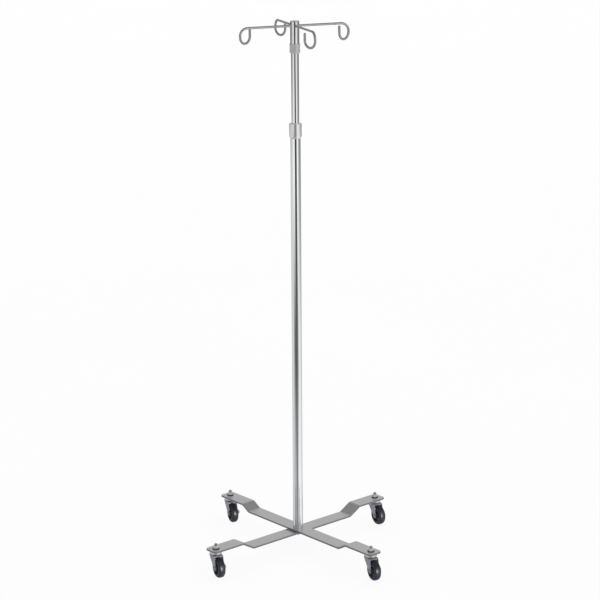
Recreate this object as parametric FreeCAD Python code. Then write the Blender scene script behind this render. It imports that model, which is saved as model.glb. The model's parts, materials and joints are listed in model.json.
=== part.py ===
"""Telescoping four-hook infusion stand on a crossed-bar base with four swivel casters.

Frame: millimetres, +Z up, origin on the floor under the pole's axis. The two base bars
lie on the diagonals, so the casters stand at front left, front right, back left and
back right, with -Y as the front.
"""
import FreeCAD, Part
import math
import os

V = FreeCAD.Vector
UP = V(0, 0, 1)
ORIGIN = V(0, 0, 0)

# ---- clearances ----
RUNNING_GAP = 0.08          # radial, between a shaft and the bore it turns or slides in
FREE_GAP = 0.4              # radial, between curved faces that move past each other
SEAT_GAP = 0.05             # axial, under a piece that lifts off
AXIAL_GAP = 0.3             # axial, beside a captive piece
FUSE_DEPTH = 0.5            # how far two turned lengths of one solid run into each other

# ---- shapes of bought fasteners ----
HEX_CHAMFER_SHARE = 0.6     # chamfer height over the hexagon's point height
RIVET_CROWN_SHARE = 0.4     # height of a head's straight rim
RIVET_TOP_SHARE = 0.65      # flat top's radius over the head's

# ---- base bars ----
UPPER_BAR_DEG = -45.0       # front right to back left
LOWER_BAR_DEG = 45.0        # front left to back right
BAR_THICK = 5.0
BAR_WIDTH = 40.0
STEM_RADIUS = 273.5         # pole axis to caster stem
TIP_OVERHANG = 18.5         # caster stem to the bar's tip
TIP_CORNER = 8.0            # rounded corners of the tip
HUB_DROP = 14.0             # fall from the raised ends to the upper bar's middle
JOGGLE_TOP_RADIUS = 199.0   # where the raised end starts to fall
JOGGLE_SLOPE_DEG = 29.5
BEND_INSIDE_R = 5.0
BAR_EDGE_ROUND = 0.6

# ---- outer tube and its foot ----
OUTER_WALL = 1.6
TELESCOPE_GAP = 1.575       # radial, between the two tubes, filled by the guide bush
OUTER_TUBE_LENGTH = 1034.0
FOOT_PLUG_LENGTH = 30.0
FOOT_PLUG_THREAD_DEPTH = 26.0
BASE_BOLT_R = 3.97
BASE_BOLT_BITE = 22.0       # thread length inside the plug
BASE_BOLT_HEAD_AF = 12.7
BASE_BOLT_HEAD_H = 5.3
BASE_WASHER_R = 9.0
BASE_WASHER_THICK = 1.6
BASE_LOCK_WASHER_R = 6.6
BASE_LOCK_WASHER_THICK = 2.0
LOCK_WASHER_SPLIT = 1.2
HOLE_GAP = 0.2              # radial, round a bolt or stem in a bar

# ---- telescoping inner tube ----
INNER_OD = 19.05
INNER_WALL = 1.2
DOWN_TRAVEL = 50.0          # how far the inner tube still sinks from where it stands
BOTTOM_CLEARANCE = 4.0      # left above the foot plug at the lowest setting
END_PLUG_FLANGE_THICK = 3.0
END_PLUG_SHANK = 15.0
GUIDE_LENGTH = 30.0
RING_THICK = 1.2
RING_GAP = 4.0
RING_GROOVE_DEPTH = 0.5

# ---- twist-lock clutch at the outer tube's mouth ----
COLLAR_WALL = 2.32
COLLAR_BELOW_MOUTH = 15.6   # how far the collar reaches down over the outer tube
COLLAR_FOOT_TAPER_H = 5.2
COLLAR_FOOT_TAPER_W = 1.5
COLLAR_TOP_CHAMFER = 0.9
COLLAR_LIP = 3.7            # thickness of the collar's top lip
BUSHING_HEAD_H = 9.0
BUSHING_SLEEVE_LENGTH = 20.0
COLLET_HEIGHT = 8.5
COLLET_FOOT = 1.5           # straight foot below the collet's taper
COLLET_TAPER = 1.6
COLLET_SLIT = 1.6

# ---- ferrule on the inner tube, and the lift-off hook top ----
INNER_SHOWN = 171.9         # inner tube seen between the collar and the ferrule
FERRULE_LENGTH = 23.5
FERRULE_WALL = 3.575
FERRULE_WAIST = 0.55
FERRULE_RIM_H = 4.2
FERRULE_FOOT_H = 3.0
FERRULE_FOOT_W = 1.5
FERRULE_EDGE = 0.35
SPIGOT_LENGTH = 35.0        # inner tube above the ferrule, inside the post
POST_WALL = 1.5
CAP_THICK = 1.2
CAP_EDGE = 0.72
CAP_SHANK = 5.0
SPIGOT_TO_ROD = 5.2         # inner tube's top to the underside of the hook rods
CAP_TO_ROD = 3.0            # top of the hook rods to the cap's shank

# ---- hooks, bent from round rod ----
ROD_R = 3.0
FIRST_HOOK_DEG = 23.75      # the right-hand hook, counter-clockwise from +X
HOOK_NAMES = ["hook_right", "hook_back", "hook_left", "hook_front"]
ROD_ROOT_RADIUS = 8.6       # where the rod ends inside the post
LOOP_OUTER_RADIUS = 140.0   # pole axis to the loop's outer run
SHOULDER_BEND_R = 19.0
LOOP_WIDTH = 33.5           # outer run to free end, centre to centre
LOOP_SKEW_DEG = 26.6        # the loop's plane, turned from the arm
LOOP_DROP = 2.25            # straight run between the shoulder bend and the loop
TIP_BELOW_ARM = 3.0

# ---- swivel casters ----
WHEEL_R = 25.4
TYRE_WIDTH = 18.0
TYRE_SHOULDER_R = 6.5
TYRE_DEPTH = 7.9
CORE_WIDTH = 16.0
CORE_RIM_THICK = 2.5
CORE_RIM_DRAFT = 0.5
CORE_WEB = 8.0
HUB_R = 8.5
HUB_DRAFT = 1.0
TRAIL = 17.5
STEM_R = 3.97
STEM_ABOVE_BAR = 13.0
STEM_NUT_AF = 12.7
STEM_NUT_H = 6.8
STEM_WASHER_R = 8.75
STEM_WASHER_THICK = 1.4
STEM_WASHER_TEETH = 12
STEM_WASHER_NOTCH_W = 1.5
STEM_WASHER_NOTCH_DEPTH = 1.6
CUP_R = 15.2
CUP_WALL = 1.3
CUP_TOP_THICK = 3.0
CUP_DEPTH = 7.0
CUP_ROUND = 1.6             # rounded top edge of the race cup
BALL_R = 2.0
BALL_COUNT = 12
BALL_PITCH_R = 9.3
BALLS_BELOW_BAR = 4.4
CROWN_BELOW_BAR = 5.2
CROWN_THICK = 4.6
WHEEL_TO_CROWN = 4.4
FORK_WALL = 2.0
FORK_SIDE_GAP = 1.5         # tyre to fork leg
FORK_FRONT = 15.0
FORK_BACK = 14.0
FORK_SHOULDER_H = 7.0
FORK_EYE_R = 6.0
FORK_EYE_TANGENT_DEG = 206  # where the leg's back edge runs into the eye
FORK_FLARE = 3.0            # how far the legs' front edge leans out over the shoulder
FORK_TUCK = 2.0             # how far their back edge leans in
FORK_EDGE_ROUND = 2.2
RETAINER_R = 7.0
RETAINER_THICK = 1.3
KINGPIN_HEAD_R = 5.4
KINGPIN_HEAD_H = 1.4
AXLE_R = 3.0
AXLE_HEAD_R = 4.4
AXLE_HEAD_H = 2.4
AXLE_NUT_AF = 10.0
AXLE_NUT_H = 5.0
AXLE_TAIL = 1.0             # thread standing proud of the axle nut
BUSHING_R = 5.0

# name, direction of the stem from the pole's axis, direction that the wheel trails
CASTERS = [
    ("front_left", LOWER_BAR_DEG - 180, -61.0),
    ("front_right", UPPER_BAR_DEG, -61.0),
    ("back_left", UPPER_BAR_DEG + 180, -65.0),
    ("back_right", LOWER_BAR_DEG, -56.0),
]

# ---- places and sizes worked out from the dimensions above ----
TYRE_INNER_R = WHEEL_R - TYRE_DEPTH
CASTER_HEIGHT = 2 * WHEEL_R + WHEEL_TO_CROWN + CROWN_THICK + CROWN_BELOW_BAR
RAISED_TOP = CASTER_HEIGHT + BAR_THICK
HUB_TOP = RAISED_TOP - HUB_DROP
LOWER_BAR_TOP = HUB_TOP - BAR_THICK
HUB_BOTTOM = LOWER_BAR_TOP - BAR_THICK
TUBE_MOUTH = HUB_TOP + OUTER_TUBE_LENGTH
INNER_R = INNER_OD / 2
TUBE_BORE_R = INNER_R + TELESCOPE_GAP
OUTER_R = TUBE_BORE_R + OUTER_WALL
FLANGE_R = TUBE_BORE_R - FREE_GAP
BUSHING_HEAD_R = OUTER_R + FREE_GAP
COLLAR_R = BUSHING_HEAD_R + RUNNING_GAP + COLLAR_WALL
FERRULE_R = INNER_R + FERRULE_WALL
FLANGE_BOTTOM = HUB_TOP + FOOT_PLUG_LENGTH + BOTTOM_CLEARANCE + DOWN_TRAVEL
INNER_TUBE_BOTTOM = FLANGE_BOTTOM + END_PLUG_FLANGE_THICK
GUIDE_BOTTOM = INNER_TUBE_BOTTOM + AXIAL_GAP
RING_BOTTOM = GUIDE_BOTTOM + GUIDE_LENGTH + AXIAL_GAP
COLLAR_BOTTOM = TUBE_MOUTH - COLLAR_BELOW_MOUTH
BUSHING_TOP = TUBE_MOUTH + BUSHING_HEAD_H
COLLET_TOP = BUSHING_TOP + COLLET_HEIGHT
COLLAR_TOP = COLLET_TOP + FREE_GAP + COLLAR_LIP
FERRULE_BOTTOM = COLLAR_TOP + INNER_SHOWN
FERRULE_TOP = FERRULE_BOTTOM + FERRULE_LENGTH
INNER_TUBE_TOP = FERRULE_TOP + SPIGOT_LENGTH
POST_BORE_R = INNER_R + RUNNING_GAP
POST_R = POST_BORE_R + POST_WALL
POST_BOTTOM = FERRULE_TOP + SEAT_GAP
ARM_Z = INNER_TUBE_TOP + SPIGOT_TO_ROD + ROD_R
POST_TOP = ARM_Z + ROD_R + CAP_TO_ROD + CAP_SHANK
LOOP_R = LOOP_WIDTH / 2
FORK_INSIDE = TYRE_WIDTH + 2 * FORK_SIDE_GAP
FORK_OUTSIDE = FORK_INSIDE + 2 * FORK_WALL
CROWN_TOP = CASTER_HEIGHT - CROWN_BELOW_BAR
CROWN_BOTTOM = CROWN_TOP - CROWN_THICK


# ---- plain shapes ----
def rod(radius, z0, z1, x=0.0, y=0.0):
    """Upright solid cylinder from z0 to z1."""
    return Part.makeCylinder(radius, z1 - z0, V(x, y, z0))


def ring(outer_r, inner_r, z0, z1):
    """Upright tube from z0 to z1."""
    return rod(outer_r, z0, z1).cut(rod(inner_r, z0 - 1, z1 + 1))


def turned(points):
    """Solid turned about Z from a closed outline of (radius, height) points."""
    corners = [V(r, 0, z) for r, z in points]
    outline = Part.makePolygon(corners + corners[:1])
    return Part.Face(outline).revolve(ORIGIN, UP, 360)


def hexagon(across_flats, z0, z1):
    """Hexagonal bar with its points chamfered at both ends, as a nut or bolt head."""
    corner_r = across_flats / math.sqrt(3)
    corners = [V(corner_r * math.cos(math.radians(a)), corner_r * math.sin(math.radians(a)), z0)
               for a in range(0, 361, 60)]
    prism = Part.Face(Part.makePolygon(corners)).extrude(V(0, 0, z1 - z0))
    bevel = (corner_r - across_flats / 2) * HEX_CHAMFER_SHARE
    flat_r = across_flats / 2
    barrel = turned([(0, z0), (flat_r, z0), (corner_r, z0 + bevel), (corner_r, z1 - bevel),
                     (flat_r, z1), (0, z1)])
    return prism.common(barrel)


def head_outline(radius, tip_z, seat_z):
    """Outline of a low domed head, from its tip to the face that it seats on."""
    rim_z = seat_z + (tip_z - seat_z) * RIVET_CROWN_SHARE
    return [(0, tip_z), (radius * RIVET_TOP_SHARE, tip_z), (radius, rim_z), (radius, seat_z),
            (0, seat_z)]


def placed(shape, angle_deg, position=ORIGIN):
    """Copy turned about Z and moved."""
    copy = shape.copy()
    copy.rotate(ORIGIN, UP, angle_deg)
    copy.translate(position)
    return copy


def edges_at(shape, keep):
    """Edges whose middle point satisfies keep(point, edge)."""
    found = []
    for edge in shape.Edges:
        middle = edge.valueAt((edge.FirstParameter + edge.LastParameter) / 2)
        if keep(middle, edge):
            found.append(edge)
    return found


def polar(radius, angle_deg, z=0.0):
    """Point at a radius and angle about the pole's axis."""
    angle = math.radians(angle_deg)
    return V(radius * math.cos(angle), radius * math.sin(angle), z)


# ---- base ----
def is_bar_rim(middle, edge, tip):
    """True for the edges round a leg bar's outline, and not for bend lines or corner lines."""
    on_side = abs(abs(middle.y) - BAR_WIDTH / 2) < 0.01 and edge.BoundBox.XLength > 0.01
    on_tip = abs(abs(middle.x) - tip) < 0.01 and edge.BoundBox.YLength > 0.01
    past_corner = (abs(middle.x) > tip - TIP_CORNER and abs(middle.y) > BAR_WIDTH / 2 - TIP_CORNER
                   and edge.BoundBox.ZLength < 0.01)
    return on_side or on_tip or past_corner


def leg_bar(top_z, angle_deg):
    """Flat bar, raised at both ends by a joggle, with a bolt hole and two stem holes."""
    tip = STEM_RADIUS + TIP_OVERHANG
    drop = RAISED_TOP - top_z
    knee = JOGGLE_TOP_RADIUS - drop / math.tan(math.radians(JOGGLE_SLOPE_DEG))
    shift = BAR_THICK * math.tan(math.radians(JOGGLE_SLOPE_DEG / 2))
    top = [(knee, top_z), (JOGGLE_TOP_RADIUS, RAISED_TOP), (tip, RAISED_TOP)]
    under = [(tip, CASTER_HEIGHT), (JOGGLE_TOP_RADIUS + shift, CASTER_HEIGHT),
             (knee + shift, top_z - BAR_THICK)]
    right = top + under
    left = [(-x, z) for x, z in reversed(right)]
    corners = [V(x, -BAR_WIDTH / 2, z) for x, z in right + left]
    bar = Part.Face(Part.makePolygon(corners + corners[:1])).extrude(V(0, BAR_WIDTH, 0))
    inside = [(JOGGLE_TOP_RADIUS + shift, CASTER_HEIGHT), (knee, top_z)]
    outside = [(JOGGLE_TOP_RADIUS, RAISED_TOP), (knee + shift, top_z - BAR_THICK)]
    for spots, radius in ((inside, BEND_INSIDE_R), (outside, BEND_INSIDE_R + BAR_THICK)):
        bends = edges_at(bar, lambda p, e: any(
            abs(abs(p.x) - x) < 0.01 and abs(p.z - z) < 0.01 for x, z in spots))
        bar = bar.makeFillet(radius, bends)
    tips = edges_at(bar, lambda p, e: abs(abs(p.x) - tip) < 0.01
                    and abs(abs(p.y) - BAR_WIDTH / 2) < 0.01)
    bar = bar.makeFillet(TIP_CORNER, tips)
    rims = edges_at(bar, lambda p, e: is_bar_rim(p, e, tip))
    bar = bar.makeFillet(BAR_EDGE_ROUND, rims)
    bar = bar.cut(rod(BASE_BOLT_R + HOLE_GAP, HUB_BOTTOM - 1, RAISED_TOP))
    for side in (-1, 1):
        stem_hole = rod(STEM_R + HOLE_GAP, CASTER_HEIGHT - 1, RAISED_TOP + 1, side * STEM_RADIUS)
        bar = bar.cut(stem_hole)
    return placed(bar, angle_deg)


def outer_tube():
    return ring(OUTER_R, TUBE_BORE_R, HUB_TOP, TUBE_MOUTH)


def tube_foot_plug():
    """Plug pressed into the tube's foot, tapped for the base bolt."""
    plug = rod(TUBE_BORE_R, HUB_TOP, HUB_TOP + FOOT_PLUG_LENGTH)
    return plug.cut(rod(BASE_BOLT_R, HUB_TOP - 1, HUB_TOP + FOOT_PLUG_THREAD_DEPTH))


def base_flat_washer():
    return ring(BASE_WASHER_R, BASE_BOLT_R + HOLE_GAP, HUB_BOTTOM - BASE_WASHER_THICK, HUB_BOTTOM)


def base_lock_washer():
    """Split spring washer."""
    top = HUB_BOTTOM - BASE_WASHER_THICK
    bottom = top - BASE_LOCK_WASHER_THICK
    washer = ring(BASE_LOCK_WASHER_R, BASE_BOLT_R + HOLE_GAP, bottom, top)
    split = Part.makeBox(BASE_LOCK_WASHER_R + 1, LOCK_WASHER_SPLIT, top - bottom + 2,
                         V(0, -LOCK_WASHER_SPLIT / 2, bottom - 1))
    return washer.cut(split)


def base_bolt():
    """Hex bolt from below, through both bars into the foot plug."""
    head_top = HUB_BOTTOM - BASE_WASHER_THICK - BASE_LOCK_WASHER_THICK
    head = hexagon(BASE_BOLT_HEAD_AF, head_top - BASE_BOLT_HEAD_H, head_top)
    return head.fuse(rod(BASE_BOLT_R, head_top - 1, HUB_TOP + BASE_BOLT_BITE)).removeSplitter()


def stem_lock_washer():
    """External-tooth washer on a bar end."""
    z0 = RAISED_TOP
    z1 = RAISED_TOP + STEM_WASHER_THICK
    washer = ring(STEM_WASHER_R, STEM_R + HOLE_GAP, z0, z1)
    notch = Part.makeBox(STEM_WASHER_NOTCH_DEPTH + 1, STEM_WASHER_NOTCH_W, z1 - z0 + 2,
                         V(STEM_WASHER_R - STEM_WASHER_NOTCH_DEPTH, -STEM_WASHER_NOTCH_W / 2, z0 - 1))
    notches = [placed(notch, k * 360.0 / STEM_WASHER_TEETH) for k in range(STEM_WASHER_TEETH)]
    return washer.cut(Part.makeCompound(notches))


def stem_nut():
    z0 = RAISED_TOP + STEM_WASHER_THICK
    return hexagon(STEM_NUT_AF, z0, z0 + STEM_NUT_H).cut(rod(STEM_R, z0 - 1, z0 + STEM_NUT_H + 1))


# ---- telescoping pole ----
def inner_tube():
    """Plated tube with a groove near its foot for the guide bush's retaining ring."""
    tube = ring(INNER_R, INNER_R - INNER_WALL, INNER_TUBE_BOTTOM, INNER_TUBE_TOP)
    groove = ring(INNER_R + 1, INNER_R - RING_GROOVE_DEPTH, RING_BOTTOM, RING_BOTTOM + RING_THICK)
    return tube.cut(groove)


def tube_end_plug():
    """Plug pressed into the inner tube's foot; its flange carries the guide bush."""
    flange = rod(FLANGE_R, FLANGE_BOTTOM, INNER_TUBE_BOTTOM)
    shank = rod(INNER_R - INNER_WALL, INNER_TUBE_BOTTOM - 1, INNER_TUBE_BOTTOM + END_PLUG_SHANK)
    return flange.fuse(shank).removeSplitter()


def guide_bush():
    """Plastic sleeve that slides in the outer tube; the inner tube turns inside it."""
    bore = INNER_R + RUNNING_GAP
    return ring(TUBE_BORE_R - RUNNING_GAP, bore, GUIDE_BOTTOM, GUIDE_BOTTOM + GUIDE_LENGTH)


def bush_retaining_ring():
    """Open spring ring in the inner tube's groove, above the guide bush."""
    closed = ring(FLANGE_R, INNER_R - RING_GROOVE_DEPTH, RING_BOTTOM, RING_BOTTOM + RING_THICK)
    gap = Part.makeBox(FLANGE_R + 1, RING_GAP, RING_THICK + 2, V(0, -RING_GAP / 2, RING_BOTTOM - 1))
    return closed.cut(gap)


def clutch_bushing():
    """Bushing pressed into the outer tube's mouth, with a threaded head above it."""
    bore = INNER_R + FREE_GAP
    sleeve = ring(TUBE_BORE_R, bore, TUBE_MOUTH - BUSHING_SLEEVE_LENGTH, TUBE_MOUTH)
    head = ring(BUSHING_HEAD_R, bore, TUBE_MOUTH, BUSHING_TOP)
    return sleeve.fuse(head).removeSplitter()


def clutch_collet():
    """Split tapered collet on the bushing's head, closed on the inner tube by the collar."""
    foot_r = BUSHING_HEAD_R - FREE_GAP
    bore = INNER_R + RUNNING_GAP
    body = turned([(bore, BUSHING_TOP), (foot_r, BUSHING_TOP), (foot_r, BUSHING_TOP + COLLET_FOOT),
                   (foot_r - COLLET_TAPER, COLLET_TOP), (bore, COLLET_TOP)])
    slit = Part.makeBox(BUSHING_HEAD_R, COLLET_SLIT, COLLET_HEIGHT + 2,
                        V(0, -COLLET_SLIT / 2, BUSHING_TOP - 1))
    return body.cut(slit)


def clutch_collar():
    """Twist collar: tapered foot, threaded bore, inner cone over the collet, top lip."""
    bore = BUSHING_HEAD_R + RUNNING_GAP
    cone_top = COLLET_TOP + FREE_GAP
    lip_r = INNER_R + FREE_GAP
    return turned([
        (bore, COLLAR_BOTTOM), (COLLAR_R - COLLAR_FOOT_TAPER_W, COLLAR_BOTTOM),
        (COLLAR_R, COLLAR_BOTTOM + COLLAR_FOOT_TAPER_H),
        (COLLAR_R, COLLAR_TOP - COLLAR_TOP_CHAMFER),
        (COLLAR_R - COLLAR_TOP_CHAMFER, COLLAR_TOP), (lip_r, COLLAR_TOP),
        (lip_r, cone_top), (bore - COLLET_TAPER, cone_top), (bore, BUSHING_TOP + COLLET_FOOT)])


def top_ferrule():
    """Satin ferrule pressed on the inner tube, with two raised rims and a tapered foot."""
    waist_r = FERRULE_R - FERRULE_WAIST
    lower_rim = FERRULE_BOTTOM + FERRULE_FOOT_H
    waist_bottom = lower_rim + FERRULE_RIM_H + FERRULE_WAIST
    upper_rim = FERRULE_TOP - FERRULE_RIM_H
    return turned([
        (INNER_R, FERRULE_BOTTOM), (FERRULE_R - FERRULE_FOOT_W, FERRULE_BOTTOM),
        (FERRULE_R, lower_rim), (FERRULE_R, lower_rim + FERRULE_RIM_H), (waist_r, waist_bottom),
        (waist_r, upper_rim - FERRULE_WAIST), (FERRULE_R, upper_rim),
        (FERRULE_R, FERRULE_TOP - FERRULE_EDGE), (FERRULE_R - FERRULE_EDGE, FERRULE_TOP),
        (INNER_R, FERRULE_TOP)])


# ---- hook top ----
def hook_post():
    """Tube that drops over the inner tube and stands on the ferrule, drilled for the rods."""
    post = ring(POST_R, POST_BORE_R, POST_BOTTOM, POST_TOP)
    for k in range(len(HOOK_NAMES)):
        along = polar(1, FIRST_HOOK_DEG + k * 90)
        post = post.cut(Part.makeCylinder(ROD_R, POST_R + 2, V(0, 0, ARM_Z), along))
    return post


def post_cap():
    """Low cap closing the post's top."""
    shank = rod(POST_BORE_R, POST_TOP - CAP_SHANK, POST_TOP)
    head = turned([(0, POST_TOP), (POST_R, POST_TOP), (POST_R, POST_TOP + CAP_THICK - CAP_EDGE),
                   (POST_R - CAP_EDGE, POST_TOP + CAP_THICK), (0, POST_TOP + CAP_THICK)])
    return head.fuse(shank).removeSplitter()


def hook(angle_deg):
    """Round rod: straight arm, shoulder bend, then a skewed half loop to a free end."""
    shoulder = LOOP_OUTER_RADIUS - SHOULDER_BEND_R
    loop_z = ARM_Z - SHOULDER_BEND_R - LOOP_DROP
    skew = math.radians(LOOP_SKEW_DEG)
    inward = V(-math.cos(skew), -math.sin(skew), 0)
    turn45 = math.sqrt(0.5)
    root = V(ROD_ROOT_RADIUS, 0, ARM_Z)
    arm_end = V(shoulder, 0, ARM_Z)
    bend_middle = V(shoulder + SHOULDER_BEND_R * turn45, 0, ARM_Z - SHOULDER_BEND_R * (1 - turn45))
    bend_end = V(LOOP_OUTER_RADIUS, 0, ARM_Z - SHOULDER_BEND_R)
    loop_start = V(LOOP_OUTER_RADIUS, 0, loop_z)
    loop_bottom = loop_start + inward * LOOP_R - V(0, 0, LOOP_R)
    loop_end = loop_start + inward * LOOP_WIDTH
    tip = V(loop_end.x, loop_end.y, ARM_Z - TIP_BELOW_ARM - ROD_R)
    path = Part.Wire([
        Part.LineSegment(root, arm_end).toShape(),
        Part.Arc(arm_end, bend_middle, bend_end).toShape(),
        Part.LineSegment(bend_end, loop_start).toShape(),
        Part.Arc(loop_start, loop_bottom, loop_end).toShape(),
        Part.LineSegment(loop_end, tip).toShape()])
    section = Part.Wire(Part.Circle(root, V(1, 0, 0), ROD_R).toShape())
    bent_rod = path.makePipeShell([section], True, True)
    end_ball = Part.makeSphere(ROD_R, tip, UP, 0, 90)
    print("hook rod volume over section times length",
          round(bent_rod.Volume / (math.pi * ROD_R ** 2 * path.Length), 4))
    return placed(bent_rod.fuse(end_ball).removeSplitter(), angle_deg)


# ---- casters, made round the swivel axis with the wheel trailing towards +X ----
def ball_groove(radius):
    z = CASTER_HEIGHT - BALLS_BELOW_BAR
    return Part.makeTorus(BALL_PITCH_R, radius, V(0, 0, z), UP)


def caster_stem():
    """Threaded stem, race cup under the bar, and the kingpin riveted over below."""
    head_top = CROWN_BOTTOM - AXIAL_GAP - RETAINER_THICK
    stem = rod(STEM_R, head_top - FUSE_DEPTH, RAISED_TOP + STEM_ABOVE_BAR)
    cup_top = CASTER_HEIGHT
    cup_bottom = CASTER_HEIGHT - CUP_DEPTH
    shoulder = CUP_ROUND * (1 - math.sqrt(0.5))
    cup = turned([
        (0, cup_top), (CUP_R - CUP_ROUND, cup_top), (CUP_R - shoulder, cup_top - shoulder),
        (CUP_R, cup_top - CUP_ROUND), (CUP_R, cup_bottom), (CUP_R - CUP_WALL, cup_bottom),
        (CUP_R - CUP_WALL, cup_top - CUP_TOP_THICK), (0, cup_top - CUP_TOP_THICK)])
    head = turned(head_outline(KINGPIN_HEAD_R, head_top - KINGPIN_HEAD_H, head_top))
    return stem.fuse([cup, head]).removeSplitter().cut(ball_groove(BALL_R + RUNNING_GAP))


def kingpin_retainer():
    top = CROWN_BOTTOM - AXIAL_GAP
    return ring(RETAINER_R, STEM_R, top - RETAINER_THICK, top)


def bearing_balls():
    z = CASTER_HEIGHT - BALLS_BELOW_BAR
    return Part.makeCompound([
        Part.makeSphere(BALL_R, polar(BALL_PITCH_R, k * 360.0 / BALL_COUNT, z))
        for k in range(BALL_COUNT)])


def fork():
    """Pressed fork: round raceway crown, and two tapered legs down to the axle."""
    shoulder_z = CROWN_BOTTOM + FORK_WALL / 2
    half = FORK_OUTSIDE / 2
    eye = V(TRAIL, -half, WHEEL_R)
    low = shoulder_z - FORK_SHOULDER_H
    tangent = polar(FORK_EYE_R, FORK_EYE_TANGENT_DEG)
    side = [(-FORK_BACK, shoulder_z), (FORK_FRONT, shoulder_z), (FORK_FRONT + FORK_FLARE, low),
            (TRAIL + FORK_EYE_R, WHEEL_R), (TRAIL + tangent.x, WHEEL_R + tangent.y),
            (-FORK_BACK + FORK_TUCK, low)]
    corners = [V(x, -half, z) for x, z in side]
    across = V(0, FORK_OUTSIDE, 0)
    blank = Part.Face(Part.makePolygon(corners + corners[:1])).extrude(across)
    blank = blank.fuse(Part.makeCylinder(FORK_EYE_R, FORK_OUTSIDE, eye, V(0, 1, 0))).removeSplitter()
    shoulders = edges_at(blank, lambda p, e: abs(p.z - shoulder_z) < 0.01
                         and abs(abs(p.y) - half) < 0.01)
    blank = blank.makeFillet(FORK_EDGE_ROUND, shoulders)
    inside_top = shoulder_z - FORK_WALL
    throat = Part.makeBox(200, FORK_INSIDE, inside_top + 50, V(-100, -FORK_INSIDE / 2, -50))
    legs = blank.cut(throat)
    crown = rod(CUP_R - CUP_WALL - FREE_GAP, inside_top, CROWN_TOP)
    body = legs.fuse(crown).removeSplitter()
    body = body.cut(rod(RETAINER_R + FREE_GAP, inside_top - 1, CROWN_BOTTOM))
    body = body.cut(rod(STEM_R + RUNNING_GAP, CROWN_BOTTOM - 1, CROWN_TOP + 1))
    body = body.cut(ball_groove(BALL_R))
    axle = Part.makeCylinder(AXLE_R, FORK_OUTSIDE + 2, eye - V(0, 1, 0), V(0, 1, 0))
    return body.cut(axle)


def axle_piece(shape):
    """Turn a piece made about Z onto the wheel's axle."""
    shape.rotate(ORIGIN, V(1, 0, 0), -90)
    shape.translate(V(TRAIL, 0, WHEEL_R))
    return shape


def axle_bolt():
    half = FORK_OUTSIDE / 2
    head = turned(head_outline(AXLE_HEAD_R, -half - AXLE_HEAD_H, -half))
    shank = rod(AXLE_R, -half - FUSE_DEPTH, half + AXLE_NUT_H + AXLE_TAIL)
    return axle_piece(head.fuse(shank).removeSplitter())


def axle_nut():
    half = FORK_OUTSIDE / 2
    nut = hexagon(AXLE_NUT_AF, half, half + AXLE_NUT_H)
    return axle_piece(nut.cut(rod(AXLE_R, half - 1, half + AXLE_NUT_H + 1)))


def axle_bushing():
    """Steel sleeve clamped between the fork legs; the wheel turns on it."""
    half = FORK_INSIDE / 2
    return axle_piece(ring(BUSHING_R, AXLE_R, -half, half))


def wheel_core():
    """Moulded core with a hub, a thinner web and a rim under the tyre."""
    half = CORE_WIDTH / 2
    web = CORE_WEB / 2
    bore = BUSHING_R + RUNNING_GAP
    rim_r = TYRE_INNER_R - CORE_RIM_THICK
    rim_mouth_r = rim_r + CORE_RIM_DRAFT
    hub_end_r = HUB_R - HUB_DRAFT
    hub_half = FORK_INSIDE / 2 - AXIAL_GAP
    return axle_piece(turned([
        (bore, -hub_half), (hub_end_r, -hub_half), (HUB_R, -web), (rim_r, -web),
        (rim_mouth_r, -half), (TYRE_INNER_R, -half), (TYRE_INNER_R, half), (rim_mouth_r, half),
        (rim_r, web), (HUB_R, web), (hub_end_r, hub_half), (bore, hub_half)]))


def tyre():
    """Hard tyre with a rounded tread and rounded shoulders."""
    half = TYRE_WIDTH / 2
    block = ring(WHEEL_R, TYRE_INNER_R, -half, half)
    tread = edges_at(block, lambda p, e: abs(math.hypot(p.x, p.y) - WHEEL_R) < 0.01
                     and abs(abs(p.z) - half) < 0.01)
    block = block.makeFillet(TYRE_SHOULDER_R, tread)
    return axle_piece(block)


def caster_pieces():
    return {
        "caster_stem": caster_stem(),
        "fork": fork(),
        "bearing_balls": bearing_balls(),
        "axle_bolt": axle_bolt(),
        "axle_nut": axle_nut(),
        "axle_bushing": axle_bushing(),
        "wheel_core": wheel_core(),
        "tyre": tyre(),
    }


def at_each_stem(shape):
    """One copy of a piece at every caster, as separate solids."""
    copies = [placed(shape, trail, polar(STEM_RADIUS, around)) for _, around, trail in CASTERS]
    return Part.makeCompound(copies)


def build():
    nodes = {
        "upper_leg_bar": leg_bar(HUB_TOP, UPPER_BAR_DEG),
        "lower_leg_bar": leg_bar(LOWER_BAR_TOP, LOWER_BAR_DEG),
        "outer_tube": outer_tube(),
        "tube_foot_plug": tube_foot_plug(),
        "base_bolt": base_bolt(),
        "base_flat_washer": base_flat_washer(),
        "base_lock_washer": base_lock_washer(),
        "stem_nuts": at_each_stem(stem_nut()),
        "stem_lock_washers": at_each_stem(stem_lock_washer()),
        "kingpin_retainers": at_each_stem(kingpin_retainer()),
        "clutch_bushing": clutch_bushing(),
        "clutch_collet": clutch_collet(),
        "clutch_collar": clutch_collar(),
        "inner_tube": inner_tube(),
        "tube_end_plug": tube_end_plug(),
        "guide_bush": guide_bush(),
        "bush_retaining_ring": bush_retaining_ring(),
        "top_ferrule": top_ferrule(),
        "hook_post": hook_post(),
        "post_cap": post_cap(),
    }
    for k, name in enumerate(HOOK_NAMES):
        nodes[name] = hook(FIRST_HOOK_DEG + k * 90)
    for corner, around, trail in CASTERS:
        for piece, shape in caster_pieces().items():
            nodes[corner + "_" + piece] = placed(shape, trail, polar(STEM_RADIUS, around))
    return nodes


os.makedirs("parts", exist_ok=True)
for node, shape in build().items():
    if not shape.isValid():
        print("not valid:", node)
    shape.exportStep("parts/" + node + ".step")
    print(node, len(shape.Solids), round(shape.Volume, 1))
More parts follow.
